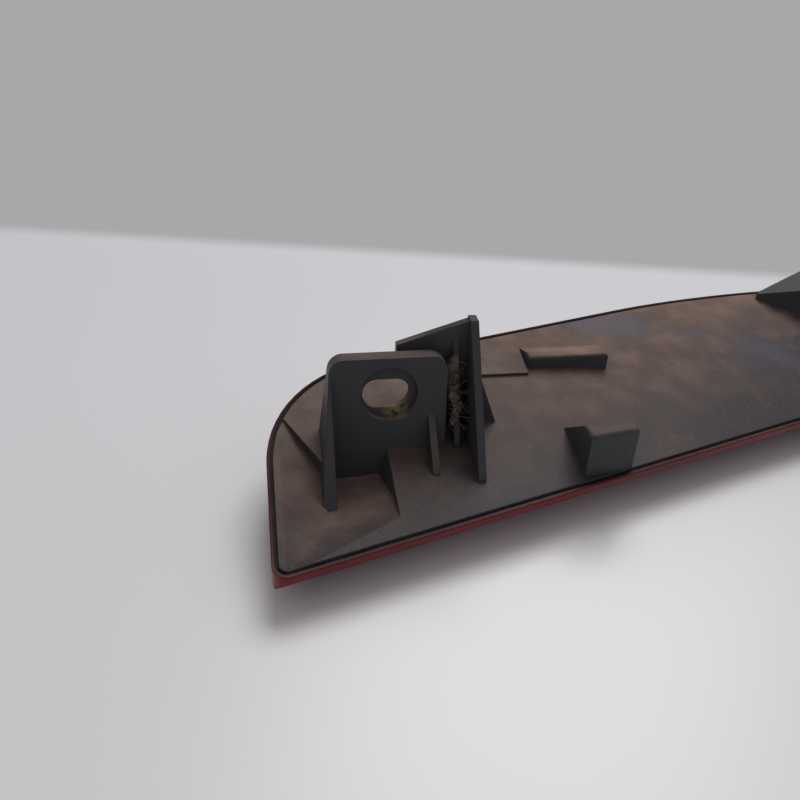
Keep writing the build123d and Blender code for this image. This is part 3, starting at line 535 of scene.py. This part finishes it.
# %% Seat a bead in every light
SEAT_DEPTH = 0.2        # of the bead in its well, from the light's face
beads = []
for number in range(1, 13):
    low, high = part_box(f"led_{number:02d}")
    seat_z = low[2] + (SEAT_DEPTH - BEAD_HEIGHT / 2) * MM
    twin = bead.copy()
    twin.data = bead.data.copy()
    bpy.context.collection.objects.link(twin)
    twin.location = ((low[0] + high[0]) / 2, (low[1] + high[1]) / 2, seat_z)
    beads.append(twin)
bpy.data.objects.remove(bead)
phosphor = small_finish("phosphor_in_silicone", "#D8B534", "#E3C650", 0.35, 1, 0.2, 0.01, ior=1.41)
settle(join(beads), "phosphor_beads", phosphor)

# %% [markdown]
# ## Dirt caught beside the tab
# In the gap between the tab and the tall fin, dust has packed into felt around old spider threads.
# Both follow one crooked line up the gap. A lump starts as an icosphere whose points are pushed about
# at random until it stops looking round.

# %% A line up the gap, and lumps of packed dust
LUMPS = 64
GAP_FOOT, GAP_RISE = (-94.9, -9.0, 13.4), 8.8   # foot of the line, and how far it climbs
GAP_LEAN = 4.2                                  # back towards the wall on the way up
chance = random.Random(7)


def gap_spot(part):
    """A spot on the line: part runs from 0 at its foot to 1 at its top."""
    x, y, z = GAP_FOOT
    drift = 0.35 * math.sin(part * 7) + chance.uniform(-0.5, 0.5)
    return Vector((x + drift, y + (part - 0.5) * GAP_LEAN, z + GAP_RISE * part)) * MM


lumps = []
for number in range(LUMPS):
    start_piece()
    bpy.ops.mesh.primitive_ico_sphere_add(
        subdivisions=2, radius=chance.uniform(0.22, 0.5) * MM, location=gap_spot(number / (LUMPS - 1)))
    lump = bpy.context.object
    lump.rotation_euler = [chance.uniform(-0.5, 0.5) for axis in range(3)]
    lump.scale = (0.8, 0.6, 2.0)
    bpy.ops.object.mode_set(mode="EDIT")
    bpy.ops.mesh.select_all(action="SELECT")
    bpy.ops.transform.vertex_random(offset=0.12 * MM, uniform=0.7, normal=0.3, seed=number)
    bpy.ops.object.mode_set(mode="OBJECT")
    bpy.ops.object.transform_apply(location=True, rotation=True, scale=True)
    lumps.append(lump)
felt = small_finish("felted_dust", "#443A34", "#75655A", 0.95, 1.2, 0.15, 0.08)
settle(join(lumps), "packed_dust", felt)

# %% [markdown]
# A thread starts as a Bezier curve with a round bevel, turned to run from one point to another. The
# threads are about a tenth of a millimetre thick. Real web is finer, but would not show.

# %% Threads across the gap
THREADS = 60
threads = []
for number in range(THREADS):
    start_piece()
    first = gap_spot(chance.uniform(0, 1))
    first += Vector((chance.uniform(-1, 0.5), chance.uniform(-0.8, 0.8), 0)) * MM
    last = first + Vector(
        (chance.uniform(0.8, 2.4), chance.uniform(-1, 1), chance.uniform(-2.4, 1.6))) * MM
    run = last - first
    bpy.ops.curve.primitive_bezier_curve_add(radius=run.length / 2, location=(first + last) / 2)
    thread = bpy.context.object
    thread.rotation_euler = run.to_track_quat("X", "Z").to_euler()
    thread.data.bevel_depth = chance.uniform(0.03, 0.07) * MM
    thread.data.bevel_resolution = 1
    thread.data.resolution_u = 5
    thread.data.use_fill_caps = True
    thread.scale = (1, 0.6, chance.uniform(0.6, 1))
    bpy.ops.object.convert(target="MESH")
    bpy.ops.object.transform_apply(location=True, rotation=True, scale=True)
    threads.append(bpy.context.object)
settle(join(threads), "web_threads", felt)

# %% [markdown]
# ## Floor, light and camera
# The lamp lies on a white laminate table with a soft gloss, which mirrors it faintly. The table ends a
# little behind the lamp, and a pale room lies beyond. One large soft lamp hangs behind and to the
# right, so upright faces that look at the camera stay dark and the dusty top is lit.

# %% Table
TABLE_EDGE = ((-194, 124), (20, 73))    # two points on its rear edge
TABLE_SIZE = 3.0                        # in metres
HALF_TABLE = TABLE_SIZE / 2

edge_start, edge_end = [Vector(point) * MM for point in TABLE_EDGE]
edge_turn = math.atan2(edge_end.y - edge_start.y, edge_end.x - edge_start.x)
forwards = Vector((math.sin(edge_turn), -math.cos(edge_turn)))
middle = (edge_start + edge_end) / 2 + forwards * HALF_TABLE
start_piece()
bpy.ops.mesh.primitive_plane_add(size=TABLE_SIZE, location=(middle.x, middle.y, -0.05 * MM),
                                 rotation=(0, 0, edge_turn))
table = bpy.context.object
table.name = "table"
print("table turned by", round(math.degrees(edge_turn), 1), "degrees")

# %% White laminate
laminate, tree, table_shader = new_finish("white_laminate")
coords = add_node(tree, "TexCoord").outputs["Object"]
place = add_node(tree, "SeparateXYZ", {0: coords})
edge_fade = add_node(
    tree, "MapRange", {"Value": place.outputs[1], "From Min": HALF_TABLE - 0.010,
                       "From Max": HALF_TABLE, "To Min": 1.0, "To Max": 0.0},
    interpolation_type="SMOOTHSTEP",
).outputs[0]
# Painted shade: the laminate turns darker and bluer towards its rear edge, standing in for the light falling
# off there.
distance = add_node(
    tree, "MapRange", {"Value": place.outputs[1], "From Min": HALF_TABLE - 0.25,
                       "From Max": HALF_TABLE - 0.02},
).outputs[0]
tree.links.new(lay_over(tree, "#DBD9DB", (distance, "#CDD0D6", 1)), table_shader.inputs["Base Color"])
tree.links.new(edge_fade, table_shader.inputs["Alpha"])
table_shader.inputs["Roughness"].default_value = 0.33
table.data.materials.append(laminate)
print("table covered")

# %% Room light and one soft lamp
LAMP_PLACE, LAMP_TARGET = Vector((0.10, 0.36, 0.60)), Vector((-0.08, 0.0, 0.0))     # in metres

scene = bpy.context.scene
scene.view_settings.view_transform = "Standard"
room = bpy.data.worlds.new("pale_room")
room.use_nodes = True
room.node_tree.nodes["Background"].inputs[0].default_value = linear("#AAA7A8")
room.node_tree.nodes["Background"].inputs[1].default_value = 1.0
scene.world = room

bpy.ops.object.light_add(type="AREA", location=LAMP_PLACE)
lamp = bpy.context.object
lamp.name = "ceiling_panel"
lamp.data.size = 0.45
lamp.data.energy = 3.6
lamp.data.color = linear("#FFFDFA")[:3]
lamp.rotation_euler = (LAMP_TARGET - LAMP_PLACE).to_track_quat("-Z", "Y").to_euler()
print("lamp hangs", round((LAMP_TARGET - LAMP_PLACE).length, 2), "m from the middle of the left wing")

# %% Camera
CAMERA_PLACE = Vector((-122.753, -112.642, 80.97)) * MM
CAMERA_TILT, CAMERA_ROLL, CAMERA_HEADING = 58.633, -2.163, -9.384      # in degrees
bpy.ops.object.camera_add()
camera = bpy.context.object
turn = Euler([math.radians(angle) for angle in (CAMERA_TILT, CAMERA_ROLL, CAMERA_HEADING)])
camera.matrix_world = Matrix.Translation(CAMERA_PLACE) @ turn.to_matrix().to_4x4()
camera.data.lens = 36.9
camera.data.sensor_width = 36
camera.data.clip_start = 0.001
scene.camera = camera
print("camera stands", round(camera.location.length, 3), "m from the origin")
